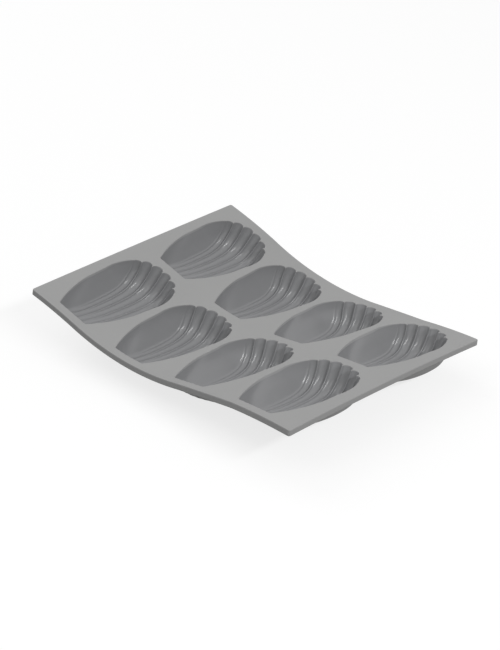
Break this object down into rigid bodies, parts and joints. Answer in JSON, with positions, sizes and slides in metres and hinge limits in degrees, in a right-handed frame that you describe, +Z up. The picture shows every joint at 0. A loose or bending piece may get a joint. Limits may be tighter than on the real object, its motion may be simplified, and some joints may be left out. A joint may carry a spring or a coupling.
{
  "type": "flexible madeleine mould",
  "caption": "Flexible grey silicone baking mould: a flat-edged sheet with shell-shaped, fluted cavities in rows, resting in a gentle S bend with one end raised.",
  "frame": {"origin": "on the table, under the middle of the mould's box at rest", "axes": "+X along the long side away from the raised end, +Y across from the cavities' narrow ends to their scalloped ends, +Z up"},
  "size_m": [0.2078, 0.177, 0.045],
  "materials": {
    "silicone": "matt grey silicone, slightly satin in the cavities"
  },
  "bodies": {
    "row_1": {"sheet_row_1": "silicone", "cup_1_front": "silicone", "cup_1_back": "silicone"},
    "row_2": {"flex_web_1_2": "silicone", "sheet_row_2": "silicone", "cup_2_front": "silicone", "cup_2_back": "silicone"},
    "row_3": {"flex_web_2_3": "silicone", "sheet_row_3": "silicone", "cup_3_front": "silicone", "cup_3_back": "silicone"},
    "row_4": {"flex_web_3_4": "silicone", "sheet_row_4": "silicone", "cup_4_front": "silicone", "cup_4_back": "silicone"}
  },
  "joints": [
    {"name": "bend_1_2", "type": "hinge", "parent": "row_2", "child": "row_1", "pos_m": [-0.05036, 0.00021, 0.02395], "axis": [-0.0055, 0.9995, 0.0315], "range_deg": [-41, 36], "stiffness_Nm_per_rad": 0.5, "deforming": ["flex_web_1_2"]},
    {"name": "bend_2_3", "type": "hinge", "parent": "row_3", "child": "row_2", "pos_m": [-0.00068, 0.00048, 0.01808], "axis": [0.0008, 1, -0.0052], "range_deg": [-44, 32], "stiffness_Nm_per_rad": 0.5, "deforming": ["flex_web_2_3"]},
    {"name": "bend_3_4", "type": "hinge", "parent": "row_3", "child": "row_4", "pos_m": [0.04896, 0.00019, 0.02321], "axis": [-0.0097, -0.9994, 0.0324], "range_deg": [-30, 47], "stiffness_Nm_per_rad": 0.5, "deforming": ["flex_web_3_4"]}
  ]
}
